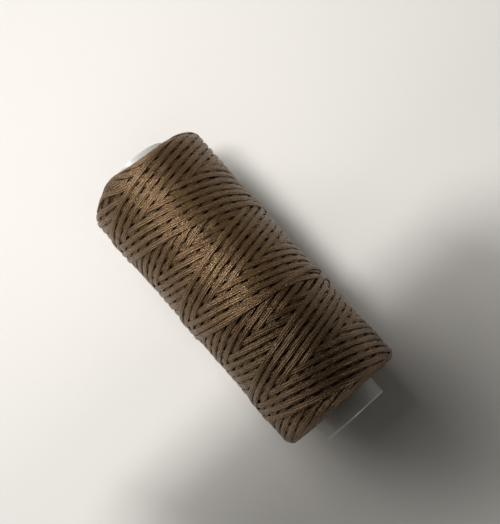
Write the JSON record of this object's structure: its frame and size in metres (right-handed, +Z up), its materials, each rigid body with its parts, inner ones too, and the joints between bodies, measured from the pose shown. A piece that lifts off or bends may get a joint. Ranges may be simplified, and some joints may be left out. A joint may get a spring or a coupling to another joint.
{
  "type": "waxed thread spool",
  "caption": "Cylindrical cross-wound package of flat waxed thread with rounded shoulders, on a longer open plastic tube, lying on its side.",
  "frame": {"origin": "on the surface the spool lies on, under the middle of the tube", "axes": "+X along the tube towards its longer bare end, +Y sideways, +Z up"},
  "size_m": [0.0584, 0.0244, 0.0244],
  "materials": {
    "tube_plastic": "clear to slightly frosted thin-walled plastic, smooth outside, edges a little brighter",
    "thread": "taupe brown flat polyester thread of fine filaments, waxed to a satin sheen",
    "thread_shaded": "the same waxed thread in the lower layers, in shade"
  },
  "bodies": {
    "root": {"core_tube": "tube_plastic", "inner_windings": "thread_shaded", "outer_turns": "thread"}
  },
  "joints": []
}
